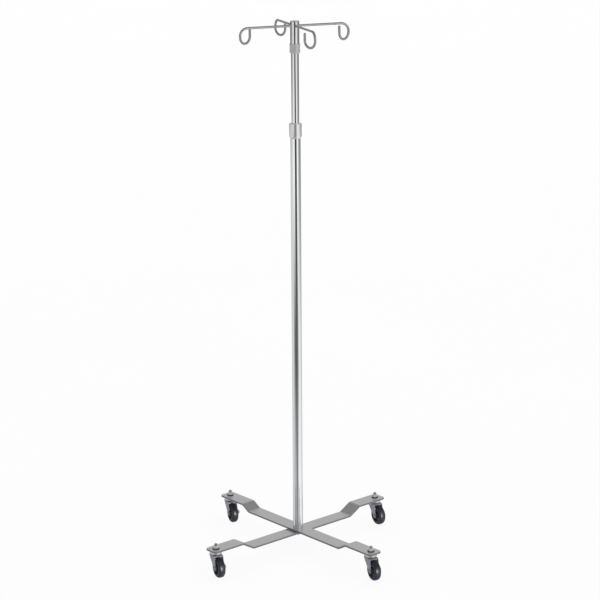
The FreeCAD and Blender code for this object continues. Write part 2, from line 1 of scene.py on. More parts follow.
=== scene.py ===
"""Looks of a four-hook infusion stand: crossed-bar base on casters, telescoping pole, hook top.

Pieces are made in millimetres and scaled to metres when they are set in place.
"""
import bmesh
import bpy
import json
import math
from mathutils import Matrix, Vector


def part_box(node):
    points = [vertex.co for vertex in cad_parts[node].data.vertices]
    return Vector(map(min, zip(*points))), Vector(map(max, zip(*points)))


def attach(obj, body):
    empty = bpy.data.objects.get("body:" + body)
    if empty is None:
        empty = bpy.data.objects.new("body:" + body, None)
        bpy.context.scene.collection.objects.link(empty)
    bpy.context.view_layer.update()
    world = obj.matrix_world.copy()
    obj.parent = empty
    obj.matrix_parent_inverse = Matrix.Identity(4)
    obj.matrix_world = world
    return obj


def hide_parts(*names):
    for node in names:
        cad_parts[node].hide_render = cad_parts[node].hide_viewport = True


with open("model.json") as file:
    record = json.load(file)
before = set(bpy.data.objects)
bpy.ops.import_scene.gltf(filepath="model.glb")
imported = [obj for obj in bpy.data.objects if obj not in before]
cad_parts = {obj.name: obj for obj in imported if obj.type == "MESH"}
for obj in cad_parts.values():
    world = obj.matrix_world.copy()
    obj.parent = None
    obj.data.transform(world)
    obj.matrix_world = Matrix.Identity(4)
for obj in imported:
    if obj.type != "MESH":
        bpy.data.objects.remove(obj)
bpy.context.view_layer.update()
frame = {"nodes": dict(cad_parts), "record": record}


# ---- Leg bars ----
# Two 40 x 5 mm flat steel bars laid across each other, each raised at both ends by a joggle
# folded in a press. The faces are blasted and satin plated; the sheared edges are rougher, and their
# colour is painted darker as shade because they face sideways, away from the light.
BAR_WIDTH = 40.0
BAR_THICK = 5.0
JOGGLE_TOP = 199.0         # pole axis to the upper fold
JOGGLE_SLOPE = math.radians(29.5)
FOLD_INSIDE_R = 5.0
TIP_CORNER_R = 8.0
RIM_ROUND = 0.6
MERGE_WITHIN = 0.002       # points nearer than this are merged
CREASE = math.radians(40)  # edges sharper than this stay sharp in the shading
home_body = {node: body for body, nodes in frame["record"]["behaviour"]["bodies"].items()
             for node in nodes}


def node_span(node):
    """Lowest and highest corner of a CAD node, in millimetres."""
    low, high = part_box(node)
    return low * 1000, high * 1000


def metal_finish(name, tones, gloss, grain, dents, turn=0.0, metallic=1.0):
    """Metal whose tone and gloss drift along its grain.

    tones: dark and light colour; gloss: lowest and highest roughness; grain: how close the
    pattern lies along each axis; dents: depth of the fine unevenness, in metres; turn: degrees
    that the grain is turned about the upright axis.
    """
    finish = bpy.data.materials.new(name)
    finish.use_nodes = True
    nodes, links = finish.node_tree.nodes, finish.node_tree.links
    surface = nodes["Principled BSDF"]
    surface.inputs["Metallic"].default_value = metallic
    place = nodes.new("ShaderNodeTexCoord")
    lay = nodes.new("ShaderNodeMapping")
    lay.inputs["Rotation"].default_value = (0, 0, math.radians(turn))
    lay.inputs["Scale"].default_value = grain
    links.new(place.outputs["Object"], lay.inputs["Vector"])
    drift = nodes.new("ShaderNodeTexNoise")
    drift.inputs["Scale"].default_value = 1.0
    drift.inputs["Detail"].default_value = 5.0
    links.new(lay.outputs["Vector"], drift.inputs["Vector"])
    tone = nodes.new("ShaderNodeValToRGB")
    tone.color_ramp.elements[0].position = 0.3
    tone.color_ramp.elements[0].color = (*tones[0], 1)
    tone.color_ramp.elements[1].position = 0.7
    tone.color_ramp.elements[1].color = (*tones[1], 1)
    links.new(drift.outputs["Fac"], tone.inputs["Fac"])
    links.new(tone.outputs["Color"], surface.inputs["Base Color"])
    grit = nodes.new("ShaderNodeTexNoise")
    grit.inputs["Scale"].default_value = 900.0
    grit.inputs["Detail"].default_value = 3.0
    links.new(place.outputs["Object"], grit.inputs["Vector"])
    mixed = nodes.new("ShaderNodeMath")
    mixed.operation = "ADD"
    links.new(drift.outputs["Fac"], mixed.inputs[0])
    links.new(grit.outputs["Fac"], mixed.inputs[1])
    sheen = nodes.new("ShaderNodeMapRange")
    sheen.inputs["From Min"].default_value = 0.7
    sheen.inputs["From Max"].default_value = 1.3
    sheen.inputs["To Min"].default_value = gloss[0]
    sheen.inputs["To Max"].default_value = gloss[1]
    links.new(mixed.outputs["Value"], sheen.inputs["Value"])
    links.new(sheen.outputs["Result"], surface.inputs["Roughness"])
    relief = nodes.new("ShaderNodeBump")
    relief.inputs["Strength"].default_value = 1.0
    relief.inputs["Distance"].default_value = dents
    links.new(mixed.outputs["Value"], relief.inputs["Height"])
    links.new(relief.outputs["Normal"], surface.inputs["Normal"])
    return finish


def set_in_place(bm, name, node, slot, *finishes, flat_faces=False):
    """Closes a piece, gives it its finishes and lets it stand for its CAD node.

    flat_faces keeps the shading of long flat or straight sides true next to rounded edges.
    """
    bmesh.ops.remove_doubles(bm, verts=bm.verts[:], dist=MERGE_WITHIN)
    bmesh.ops.recalc_face_normals(bm, faces=bm.faces[:])
    bmesh.ops.scale(bm, vec=(0.001, 0.001, 0.001), verts=bm.verts[:])
    mesh = bpy.data.meshes.new(name)
    bm.to_mesh(mesh)
    bm.free()
    for finish in finishes:
        mesh.materials.append(finish)
    mesh.shade_smooth()
    mesh.set_sharp_from_angle(angle=CREASE)
    piece = bpy.data.objects.new(name, mesh)
    bpy.context.scene.collection.objects.link(piece)
    if flat_faces:
        weighing = piece.modifiers.new("flat_faces", "WEIGHTED_NORMAL")
        weighing.keep_sharp = True
        weighing.weight = 100
    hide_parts(node)
    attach(piece, home_body[node])
    return piece


def round_over(bm, edges, width, segments):
    """Rounds edges back by a width on each side."""
    bmesh.ops.bevel(bm, geom=list(edges), offset=width, offset_type="OFFSET", segments=segments,
                    profile=0.5, affect="EDGES", material=-1, clamp_overlap=True)


def swing(bm, verts, degrees, axis):
    """Turns part of a piece about one of the main axes."""
    bmesh.ops.rotate(bm, cent=(0, 0, 0), matrix=Matrix.Rotation(math.radians(degrees), 3, axis),
                     verts=verts)


def leg_bar(node, angle, finish, edge_shade_finish):
    """A flat bar along X, lowered between its two joggles, then turned to its diagonal."""
    low, high = node_span(node)
    raised_top = high.z
    drop = raised_top - BAR_THICK - low.z
    tip = max(high.x, high.y) * math.sqrt(2) - BAR_WIDTH / 2 + TIP_CORNER_R * (2 - math.sqrt(2))
    knee = JOGGLE_TOP - drop / math.tan(JOGGLE_SLOPE)
    bm = bmesh.new()
    bmesh.ops.create_cube(bm, size=1.0)
    bmesh.ops.scale(bm, vec=(2 * tip, BAR_WIDTH, BAR_THICK), verts=bm.verts[:])
    bmesh.ops.translate(bm, vec=(0, 0, raised_top - BAR_THICK / 2), verts=bm.verts[:])
    for side in (-1, 1):
        across_fold = (side * math.cos(JOGGLE_SLOPE / 2), 0, math.sin(JOGGLE_SLOPE / 2))
        for fold in (JOGGLE_TOP, knee):
            bmesh.ops.bisect_plane(bm, geom=bm.verts[:] + bm.edges[:] + bm.faces[:], dist=0.0001,
                                   plane_co=(side * fold, 0, raised_top), plane_no=across_fold)
    hub = [v for v in bm.verts if abs(v.co.x) < (knee + JOGGLE_TOP) / 2]
    bmesh.ops.translate(bm, vec=(0, 0, -drop), verts=hub)
    for outside in (False, True):
        folds = []
        for edge in bm.edges:
            a, b = edge.verts[0].co, edge.verts[1].co
            if abs(a.y - b.y) < BAR_WIDTH / 2 or abs(a.x) > tip - 1 or len(edge.link_faces) != 2:
                continue
            if edge.calc_face_angle() < 0.1:
                continue
            if edge.is_convex == outside:
                folds.append(edge)
        radius = FOLD_INSIDE_R + (BAR_THICK if outside else 0)
        round_over(bm, folds, radius * math.tan(JOGGLE_SLOPE / 2), 5)
    corners = [e for e in bm.edges if all(abs(v.co.x) > tip - 0.01 for v in e.verts)
               and abs(e.verts[0].co.z - e.verts[1].co.z) > 1]
    round_over(bm, corners, TIP_CORNER_R, 10)
    bmesh.ops.recalc_face_normals(bm, faces=bm.faces[:])
    rims = [e for e in bm.edges if len(e.link_faces) == 2 and e.calc_face_angle() > math.radians(60)]
    round_over(bm, rims, RIM_ROUND, 2)
    # Faces that stand on edge take the second, darker finish: painted shade for the sides that turn
    # away from the light.
    for face in bm.faces:
        face.material_index = 1 if abs(face.normal.z) < 0.2 else 0
    swing(bm, bm.verts[:], angle, "Z")
    set_in_place(bm, node + "_plate", node, "satin_steel_bar", finish, edge_shade_finish, flat_faces=True)


# The sheared edges' finish is rougher and painted dark, as shade on the sideways faces.
sheared_edge_painted_shade = metal_finish("sheared_edge_painted_shade", ((0.25, 0.25, 0.26), (0.34, 0.34, 0.35)),
                            (0.42, 0.58), (260, 260, 30), 0.00003)
upper_satin = metal_finish("upper_bar_satin", ((0.61, 0.61, 0.62), (0.66, 0.66, 0.67)),
                           (0.30, 0.38), (12, 160, 90), 0.000004, turn=45)
lower_satin = metal_finish("lower_bar_satin", ((0.61, 0.61, 0.62), (0.66, 0.66, 0.67)),
                           (0.30, 0.38), (12, 160, 90), 0.000004, turn=-45)
leg_bar("upper_leg_bar", -45.0, upper_satin, sheared_edge_painted_shade)
leg_bar("lower_leg_bar", 45.0, lower_satin, sheared_edge_painted_shade)


# ---- Outer tube ----
# A 25 mm welded steel tube, polished and chromed, bolted upright on the crossing of the bars.
# Its ends are faced square with their edges broken, and its mouth is inside the collar.
chrome = metal_finish("bright_chrome", ((0.78, 0.785, 0.80), (0.83, 0.835, 0.84)),
                      (0.045, 0.085), (70, 70, 6), 0.0000008)
OUTER_WALL = 1.6
TUBE_STEPS = 96


def turned(bm, outline, steps=72):
    """Spins an outline of (radius, height) points about the upright axis.

    The outline is closed, or starts and ends on the axis. Gives back the new vertices.
    """
    already = set(bm.verts)
    corners = [bm.verts.new((radius, 0, height)) for radius, height in outline]
    pairs = list(zip(corners, corners[1:]))
    if outline[0][0] > 0:
        pairs.append((corners[-1], corners[0]))
    lines = [bm.edges.new(pair) for pair in pairs]
    bmesh.ops.spin(bm, geom=corners + lines, cent=(0, 0, 0), axis=(0, 0, 1), angle=math.tau,
                   steps=steps, use_merge=True)
    fresh = [v for v in bm.verts if v not in already]
    bmesh.ops.remove_doubles(bm, verts=fresh, dist=MERGE_WITHIN)
    return [v for v in bm.verts if v not in already]


def break_edges(bm, width, segments=2, sharper_than=25):
    """Rounds every edge of a piece that is sharper than an angle in degrees."""
    bmesh.ops.recalc_face_normals(bm, faces=bm.faces[:])
    sharp = [e for e in bm.edges if len(e.link_faces) == 2
             and e.calc_face_angle() > math.radians(sharper_than)]
    round_over(bm, sharp, width, segments)


low, high = node_span("outer_tube")
bm = bmesh.new()
turned(bm, [(high.x, low.z), (high.x, high.z), (high.x - OUTER_WALL, high.z),
            (high.x - OUTER_WALL, low.z)], TUBE_STEPS)
break_edges(bm, 0.25)
set_in_place(bm, "outer_tube_chromed", "outer_tube", "chrome_plate", chrome, flat_faces=True)


# ---- Clutch collar ----
# The twist collar that locks the inner tube: turned steel, softly chromed, with a tapered
# foot, a chamfered top edge and a lip at the top that closes in on the inner tube.
COLLAR_WALL = 2.4
COLLAR_FOOT_STEP = 1.5
COLLAR_TAPER = 5.2
COLLAR_CHAMFER = 0.9
COLLAR_LIP = 3.7
MOUTH_GAP = 0.4
low, high = node_span("clutch_collar")
inner_r = node_span("inner_tube")[1].x
bm = bmesh.new()
turned(bm, [(high.x - COLLAR_WALL, low.z), (high.x - COLLAR_FOOT_STEP, low.z),
            (high.x, low.z + COLLAR_TAPER), (high.x, high.z - COLLAR_CHAMFER),
            (high.x - COLLAR_CHAMFER, high.z), (inner_r + MOUTH_GAP, high.z),
            (inner_r + MOUTH_GAP, high.z - COLLAR_LIP),
            (high.x - COLLAR_WALL, high.z - COLLAR_LIP)], TUBE_STEPS)
break_edges(bm, 0.25)
soft_chrome = metal_finish("soft_chrome", ((0.90, 0.90, 0.91), (0.95, 0.95, 0.95)),
                           (0.26, 0.34), (40, 40, 900), 0.000002)
set_in_place(bm, "clutch_collar_chromed", "clutch_collar", "chrome_plate", soft_chrome,
             flat_faces=True)


# ---- Inner tube ----
# A 19 mm steel tube, polished and chromed, that slides in the outer tube and carries the
# ferrule. A groove near its foot holds the retaining ring of the guide bush.
INNER_WALL = 1.2
GROOVE_DEPTH = 0.5
low, high = node_span("inner_tube")
groove_low, groove_high = (end.z for end in node_span("bush_retaining_ring"))
bm = bmesh.new()
turned(bm, [(high.x, low.z), (high.x, groove_low), (high.x - GROOVE_DEPTH, groove_low),
            (high.x - GROOVE_DEPTH, groove_high), (high.x, groove_high), (high.x, high.z),
            (high.x - INNER_WALL, high.z), (high.x - INNER_WALL, low.z)], TUBE_STEPS)
break_edges(bm, 0.15, 1)
set_in_place(bm, "inner_tube_chromed", "inner_tube", "chrome_plate", chrome, flat_faces=True)


# ---- Top ferrule ----
# A turned steel ferrule pressed on the inner tube: two rims with a shallow waist between
# them and a tapered foot, left with a fine satin turning and a dull nickel plate.
satin_nickel = metal_finish("satin_nickel", ((0.58, 0.58, 0.59), (0.66, 0.66, 0.67)),
                            (0.46, 0.56), (30, 30, 2600), 0.000006, metallic=0.8)
WAIST_DEPTH = 0.55
LOWER_RIM = 7.2
UPPER_RIM = 4.2
FERRULE_FOOT_STEP = 1.5
FERRULE_TAPER = 3.0
FERRULE_CHAMFER = 0.35
low, high = node_span("top_ferrule")
bm = bmesh.new()
waist_r = high.x - WAIST_DEPTH
turned(bm, [(inner_r, low.z), (high.x - FERRULE_FOOT_STEP, low.z), (high.x, low.z + FERRULE_TAPER),
            (high.x, low.z + LOWER_RIM), (waist_r, low.z + LOWER_RIM + WAIST_DEPTH),
            (waist_r, high.z - UPPER_RIM - WAIST_DEPTH), (high.x, high.z - UPPER_RIM),
            (high.x, high.z - FERRULE_CHAMFER), (high.x - FERRULE_CHAMFER, high.z),
            (inner_r, high.z)], TUBE_STEPS)
break_edges(bm, 0.12)
set_in_place(bm, "top_ferrule_satin", "top_ferrule", "satin_ferrule", satin_nickel,
             flat_faces=True)


# ---- Hook post and cap ----
# A short chromed tube that drops over the inner tube and stands on the ferrule, closed on
# top by a low pressed cap, duller than the chrome.
POST_GAP = 0.08
CAP_EDGE = 0.7
CAP_CROWN = 0.1
low, high = node_span("hook_post")
bm = bmesh.new()
turned(bm, [(high.x, low.z), (high.x, high.z), (inner_r + POST_GAP, high.z),
            (inner_r + POST_GAP, low.z)], TUBE_STEPS)
break_edges(bm, 0.3)
set_in_place(bm, "hook_post_chromed", "hook_post", "chrome_plate", chrome, flat_faces=True)

pressed_steel = metal_finish("pressed_cap_steel", ((0.50, 0.50, 0.51), (0.60, 0.60, 0.61)),
                             (0.16, 0.26), (120, 120, 120), 0.000003)
post_top = high.z
low, high = node_span("post_cap")
bm = bmesh.new()
turned(bm, [(0, low.z), (inner_r, low.z), (inner_r, post_top), (high.x, post_top),
            (high.x, high.z - CAP_EDGE), (high.x - CAP_EDGE, high.z - CAP_CROWN),
            (high.x / 2, high.z),
            (0, high.z)])
break_edges(bm, 0.15)
set_in_place(bm, "post_cap_pressed", "post_cap", "cap_steel", pressed_steel)


# ---- Hooks ----
# Four hooks bent from 6 mm steel rod, pushed through the post and brazed: a straight arm, a
# shoulder bend, and a half loop skewed to one side with a domed free end. Chromed all over.
ROD_R = 3.0
ROD_START = 8.6            # pole axis to the rod's hidden end, inside the post
FIRST_HOOK_DEG = 23.75
SHOULDER_R = 19.0
LOOP_OUT = 140.0           # pole axis to the outer side of the loop
LOOP_WIDTH = 33.5
LOOP_SKEW = math.radians(26.6)
LOOP_DROP = 2.25
FREE_END_DROP = 3.0        # arm to the free end
BRAZE_BITE = 0.3           # bead sunk into the post


def rod_on(bm, rim, along):
    """Runs the rod on from its open rim in a straight line."""
    grown = bmesh.ops.extrude_edge_only(bm, edges=rim)["geom"]
    bmesh.ops.translate(bm, vec=along, verts=[g for g in grown if isinstance(g, bmesh.types.BMVert)])
    return [g for g in grown if isinstance(g, bmesh.types.BMEdge)
            and len(g.link_faces) == 1]


def rod_round(bm, rim, centre, axis, angle, steps):
    """Bends the rod on from its open rim about an axis."""
    grown = bmesh.ops.spin(bm, geom=rim, cent=centre, axis=axis, angle=angle, steps=steps)
    return [g for g in grown["geom_last"] if isinstance(g, bmesh.types.BMEdge)]


hook_chrome = metal_finish("hook_chrome", ((0.42, 0.42, 0.43), (0.52, 0.52, 0.53)),
                           (0.06, 0.12), (70, 70, 70), 0.0000015)


def hook(node, angle, arm_z, post_r):
    """One rod, bent from its end in the post to its free end, with its bead of braze."""
    bm = bmesh.new()
    upright_disc = (Matrix.Translation((ROD_START, 0, arm_z))
                    @ Matrix.Rotation(math.radians(90), 4, "Y"))
    bmesh.ops.create_circle(bm, cap_ends=True, radius=ROD_R, segments=24, matrix=upright_disc)
    rim = bm.edges[:]
    shoulder_x = LOOP_OUT - SHOULDER_R
    rim = rod_on(bm, rim, (shoulder_x - ROD_START, 0, 0))
    rim = rod_round(bm, rim, (shoulder_x, 0, arm_z - SHOULDER_R), (0, 1, 0), math.radians(90), 16)
    rim = rod_on(bm, rim, (0, 0, -LOOP_DROP))
    inward = Vector((-math.cos(LOOP_SKEW), -math.sin(LOOP_SKEW), 0))
    loop_top = Vector((LOOP_OUT, 0, arm_z - SHOULDER_R - LOOP_DROP))
    loop_axis = inward.cross(Vector((0, 0, 1)))
    rim = rod_round(bm, rim, loop_top + inward * LOOP_WIDTH / 2, loop_axis, math.radians(180), 32)
    rise = SHOULDER_R + LOOP_DROP - FREE_END_DROP
    rim = rod_on(bm, rim, (0, 0, rise))
    bmesh.ops.contextual_create(bm, geom=rim)
    bmesh.ops.recalc_face_normals(bm, faces=bm.faces[:])
    free_end = max((f for f in bm.faces if len(f.verts) > 8), key=lambda f: f.calc_center_median().x)
    round_over(bm, free_end.edges[:], ROD_R * 0.96, 7)
    bead = [(ROD_R - 0.2, 0.0), (ROD_R + 0.9, -0.3), (ROD_R + 0.65, 0.35), (ROD_R + 0.2, 0.85),
            (ROD_R - 0.2, 1.0)]
    braze = turned(bm, bead, 24)
    swing(bm, braze, 90, "Y")
    bmesh.ops.translate(bm, vec=(post_r - BRAZE_BITE, 0, arm_z), verts=braze)
    swing(bm, bm.verts[:], angle, "Z")
    set_in_place(bm, node + "_rod", node, "chrome_plate", hook_chrome)


arm_z = node_span("hook_right")[1].z - ROD_R
post_r = node_span("hook_post")[1].x
for turn, node in enumerate(("hook_right", "hook_back", "hook_left", "hook_front")):
    hook(node, FIRST_HOOK_DEG + turn * 90, arm_z, post_r)


# ---- Stem nuts and lock washers ----
# At each bar end a zinc plated hex nut on a toothed washer holds the caster's stem; the washer is
# painted near black, partly for its black phosphate and partly as painted shade between its teeth and
# under the nut.
# These and the kingpin retainers are plain turned and stamped pieces, so the CAD pieces stay
# and only take finishes.
zinc = metal_finish("bright_zinc", ((0.56, 0.56, 0.59), (0.74, 0.73, 0.75)),
                    (0.20, 0.34), (170, 170, 170), 0.000006, metallic=0.75)
# Near black finish: black phosphate, painted darker still as shade where it sits on the toothed
# washers under the nuts.
phosphate_and_shade_black = metal_finish("phosphate_black_and_painted_shade", ((0.045, 0.045, 0.047), (0.10, 0.10, 0.105)),
                          (0.38, 0.55), (240, 240, 240), 0.00001, metallic=0.7)
nut_zinc = metal_finish("nut_zinc", ((0.80, 0.80, 0.81), (0.92, 0.92, 0.92)),
                        (0.28, 0.40), (170, 170, 170), 0.000006, metallic=0.45)
stem_zinc = metal_finish("stem_zinc", ((0.36, 0.36, 0.38), (0.50, 0.50, 0.52)),
                         (0.26, 0.40), (170, 170, 170), 0.000006, metallic=0.85)


def finish_cad_piece(node, finish):
    """Gives a finish to a CAD piece that stays as it is."""
    frame["nodes"][node].data.materials.clear()
    frame["nodes"][node].data.materials.append(finish)


finish_cad_piece("stem_nuts", nut_zinc)
# The toothed washers' near black is partly their phosphate and partly painted shade for their teeth
# and the nut's underside.
finish_cad_piece("stem_lock_washers", phosphate_and_shade_black)
finish_cad_piece("kingpin_retainers", zinc)


# ---- Base bolt and washers ----
# Under the crossing a zinc plated hex bolt, with a flat washer and a black split washer,
# draws both bars up against the tube's foot plug.
finish_cad_piece("base_bolt", zinc)
finish_cad_piece("base_flat_washer", zinc)
finish_cad_piece("base_lock_washer", phosphate_and_shade_black)


# ---- Pieces inside the pole ----
# Brass clutch bushing, nylon split collet and guide bush, turned steel plugs and a spring
# ring. They show only when the pole is taken apart.
turned_brass = metal_finish("turned_brass", ((0.62, 0.46, 0.20), (0.76, 0.58, 0.29)),
                            (0.22, 0.34), (60, 60, 1800), 0.000004)
turned_steel = metal_finish("turned_steel", ((0.40, 0.40, 0.41), (0.52, 0.52, 0.53)),
                            (0.28, 0.40), (60, 60, 1500), 0.000005)
nylon = metal_finish("natural_nylon", ((0.78, 0.77, 0.72), (0.86, 0.85, 0.81)),
                     (0.42, 0.55), (90, 90, 90), 0.00001, metallic=0.0)
for node, finish in (("clutch_bushing", turned_brass), ("clutch_collet", nylon),
                     ("tube_foot_plug", turned_steel), ("tube_end_plug", turned_steel),
                     ("guide_bush", nylon), ("bush_retaining_ring", phosphate_and_shade_black)):
    finish_cad_piece(node, finish)


# ---- Caster stems ----
# A 5/16 inch threaded stem stands through the bar end. Its foot is pressed into the race cup,
# a deep drawn zinc plated hood over the ball race, and riveted over below the fork.
STEM_R = 3.97
STEM_CHAMFER = 0.6
THREAD_PITCH = 1.41
THREAD_DEPTH = 0.6
THREAD_CREST = 0.18
THREAD_RUN_OUT = 0.5
RIVET_R = 5.4
RIVET_FLAT_R = 3.8
RIVET_EDGE = 0.85
RIVET_THICK = 1.4
CUP_R = 15.2
CUP_HEIGHT = 7.0
CUP_WALL = 1.3
CUP_ROOF = 3.0
CUP_ROUND = 1.6
STEM_BITE = 0.3            # how far the cup reaches into the stem
corners = ("front_left", "front_right", "back_left", "back_right")
bar_underside = node_span("upper_leg_bar")[1].z - BAR_THICK


def middle(node):
    """Middle of a CAD node's box."""
    low, high = node_span(node)
    return (low + high) / 2


def at_corner(bm, corner):
    """Turns a piece made at the origin, trailing towards +X, and carries it to its corner."""
    stem = middle(corner + "_caster_stem")
    axle = middle(corner + "_axle_bushing")
    trail = math.atan2(axle.y - stem.y, axle.x - stem.x)
    bmesh.ops.rotate(bm, cent=(0, 0, 0), matrix=Matrix.Rotation(trail, 3, "Z"), verts=bm.verts[:])
    bmesh.ops.translate(bm, vec=(stem.x, stem.y, 0), verts=bm.verts[:])


for corner in corners:
    low, high = node_span(corner + "_caster_stem")
    cup_low = bar_underside - CUP_HEIGHT
    roof_low = bar_underside - CUP_ROOF
    bm = bmesh.new()
    turned(bm, [(CUP_R - CUP_WALL, cup_low), (CUP_R - 0.1, cup_low), (CUP_R, cup_low + 0.6),
                (CUP_R, bar_underside - CUP_ROUND), (CUP_R - 0.45, bar_underside - 0.5),
                (CUP_R - CUP_ROUND, bar_underside), (STEM_R - STEM_BITE, bar_underside),
                (STEM_R - STEM_BITE, roof_low), (CUP_R - CUP_WALL, roof_low)], 64)
    break_edges(bm, 0.2)
    thread = [(0, low.z), (RIVET_FLAT_R, low.z), (RIVET_R, low.z + RIVET_EDGE),
              (RIVET_R, low.z + RIVET_THICK), (STEM_R, low.z + RIVET_THICK),
              (STEM_R, bar_underside)]
    height = bar_underside
    while height + THREAD_PITCH < high.z - THREAD_RUN_OUT:
        thread += [(STEM_R, height + THREAD_CREST),
                   (STEM_R - THREAD_DEPTH, height + THREAD_PITCH / 2),
                   (STEM_R, height + THREAD_PITCH - THREAD_CREST)]
        height += THREAD_PITCH
    thread += [(STEM_R, high.z - STEM_CHAMFER), (STEM_R - STEM_CHAMFER, high.z), (0, high.z)]
    for vertex in turned(bm, thread, 32):
        for face in vertex.link_faces:
            face.material_index = 1
    at_corner(bm, corner)
    set_in_place(bm, corner + "_stem_and_cup", corner + "_caster_stem", "zinc_plate", zinc,
                 stem_zinc)


# ---- Caster forks ----
# Each fork is pressed from 2 mm strip, zinc plated: a flat crown under the ball race, with a
# short lip turned down on its trailing side, and two legs that taper to a rounded eye.
FORK_HALF = 12.5
FORK_WALL = 2.0
CROWN_BASE = 55.2
CROWN_LEAD = -14           # crown's end ahead of the stem
CROWN_TRAIL = 15           # crown's end on the wheel's side
LEG_TOP_Z = 49.2
LEG_TOP_LEAD = -12
LEG_TOP_TRAIL = 18
EYE_NEAR = 11.5
EYE_FAR = 23.5
EYE_R = 6
EYE_ROUND = 5.2
RACE_R = 13.5
LIP_DROP = 3.5
LIP_THICK = 1.6
LIP_X = 15.2
fork_zinc = metal_finish("fork_zinc", ((0.26, 0.25, 0.30), (0.38, 0.37, 0.43)),
                         (0.30, 0.44), (150, 150, 150), 0.000008, metallic=0.85)
for corner in corners:
    low, high = node_span(corner + "_fork")
    axle_z = middle(corner + "_axle_bushing").z
    shoulder_z = CROWN_BASE + 1.0
    side_outline = [(CROWN_LEAD, shoulder_z), (CROWN_TRAIL, shoulder_z),
                    (LEG_TOP_TRAIL, LEG_TOP_Z), (EYE_FAR, axle_z + 2), (EYE_FAR, axle_z - EYE_R),
                    (EYE_NEAR, axle_z - EYE_R), (EYE_NEAR, axle_z - 1), (LEG_TOP_LEAD, LEG_TOP_Z)]
    bm = bmesh.new()
    cheek = bm.faces.new([bm.verts.new((x, -FORK_HALF, z)) for x, z in side_outline])
    grown = bmesh.ops.extrude_face_region(bm, geom=[cheek])["geom"]
    bmesh.ops.translate(bm, vec=(0, 2 * FORK_HALF, 0),
                        verts=[g for g in grown if isinstance(g, bmesh.types.BMVert)])
    bmesh.ops.recalc_face_normals(bm, faces=bm.faces[:])
    shoulders = [e for e in bm.edges if all(abs(v.co.z - shoulder_z) < 0.01 for v in e.verts)
                 and abs(e.verts[0].co.y - e.verts[1].co.y) < 0.01]
    round_over(bm, shoulders, 2.2, 5)
    open_sides = [f for f in bm.faces if abs(f.normal.y) < 0.05 and f.normal.z < 0.9]
    bmesh.ops.delete(bm, geom=open_sides, context="FACES")
    eye_corners = [v for v in bm.verts if v.co.z < axle_z]
    bmesh.ops.bevel(bm, geom=eye_corners, offset=EYE_ROUND, offset_type="OFFSET", segments=9,
                    profile=0.5, affect="VERTICES", material=-1, clamp_overlap=True)
    bmesh.ops.recalc_face_normals(bm, faces=bm.faces[:])
    roof = max(bm.faces, key=lambda f: f.calc_center_median().z)
    if roof.normal.z < 0:
        bmesh.ops.reverse_faces(bm, faces=bm.faces[:])
    bmesh.ops.solidify(bm, geom=bm.faces[:], thickness=FORK_WALL)
    break_edges(bm, 0.3, 2, 50)
    turned(bm, [(STEM_R + 0.1, CROWN_BASE + 0.4), (RACE_R - 0.3, CROWN_BASE + 0.4),
                (RACE_R, CROWN_BASE + 1), (RACE_R, high.z - 0.6), (RACE_R - 0.6, high.z),
                (STEM_R + 0.1, high.z)], 48)
    lip = bmesh.ops.create_cube(bm, size=1.0)["verts"]
    bmesh.ops.scale(bm, vec=(LIP_THICK, 2 * FORK_HALF - 2 * LIP_THICK, LIP_DROP), verts=lip)
    bmesh.ops.translate(bm, vec=(LIP_X, 0, CROWN_BASE + 0.3 - LIP_DROP / 2), verts=lip)
    at_corner(bm, corner)
    set_in_place(bm, corner + "_fork_pressed", corner + "_fork", "zinc_plate", fork_zinc,
                 flat_faces=True)
    finish_cad_piece(corner + "_bearing_balls", zinc)
    finish_cad_piece(corner + "_axle_nut", zinc)
    finish_cad_piece(corner + "_axle_bushing", turned_steel)


# ---- Axle bolts ----
# A zinc plated bolt runs through each fork's eyes and the axle bushing. Its domed head closes
# one side and its nut, which stays as the CAD piece, closes the other.
AXLE_R = 3.0
HEAD_R = 4.4
HEAD_HEIGHT = 2.4
BOLT_TAIL = 6.0            # bolt's end beyond the fork


def on_axle(bm, verts, corner):
    """Lays a piece turned about the upright axis along the wheel's axle."""
    stem = middle(corner + "_caster_stem")
    axle = middle(corner + "_axle_bushing")
    reach = math.hypot(axle.x - stem.x, axle.y - stem.y)
    swing(bm, verts, -90, "X")
    bmesh.ops.translate(bm, vec=(reach, 0, axle.z), verts=verts)


for corner in corners:
    bm = bmesh.new()
    head_low = -FORK_HALF - HEAD_HEIGHT
    bolt = turned(bm, [(0, head_low), (1.9, head_low + 0.05), (3.1, head_low + 0.4),
                       (4.0, head_low + 1.1), (HEAD_R, head_low + 1.9), (HEAD_R, -FORK_HALF),
                       (AXLE_R, -FORK_HALF), (AXLE_R, FORK_HALF + BOLT_TAIL - 0.4),
                       (AXLE_R - 0.5, FORK_HALF + BOLT_TAIL), (0, FORK_HALF + BOLT_TAIL)], 40)
    on_axle(bm, bolt, corner)
    at_corner(bm, corner)
    set_in_place(bm, corner + "_axle_bolt_domed", corner + "_axle_bolt", "zinc_plate", fork_zinc)


# ---- Wheels ----
# A moulded black core with a hub and a thinner web, and a hard glossy tyre with a rounded
# tread. The tyre keeps a fine parting line from its mould round the middle of the tread.
WHEEL_R = 25.4
TYRE_HALF = 9.0
TYRE_BORE = 17.5
TREAD_ROUND = 6.5
TREAD_INSIDE = 20.0        # all the tread lies beyond this radius
PARTING_WIDTH = 0.35
PARTING_RISE = 1.002
CORE_HALF = [(5.08, 10.2), (7.5, 10.2), (8.5, 4.0), (15.0, 4.0), (15.5, 8), (TYRE_BORE, 8)]
glossy_black = metal_finish("glossy_black_tyre", ((0.002, 0.003, 0.007), (0.006, 0.007, 0.013)),
                            (0.36, 0.44), (60, 60, 60), 0.000004, metallic=0.0)
moulded_black = metal_finish("moulded_black_core", ((0.012, 0.012, 0.013), (0.026, 0.026, 0.028)),
                             (0.34, 0.48), (90, 90, 90), 0.00001, metallic=0.0)
tyres = []
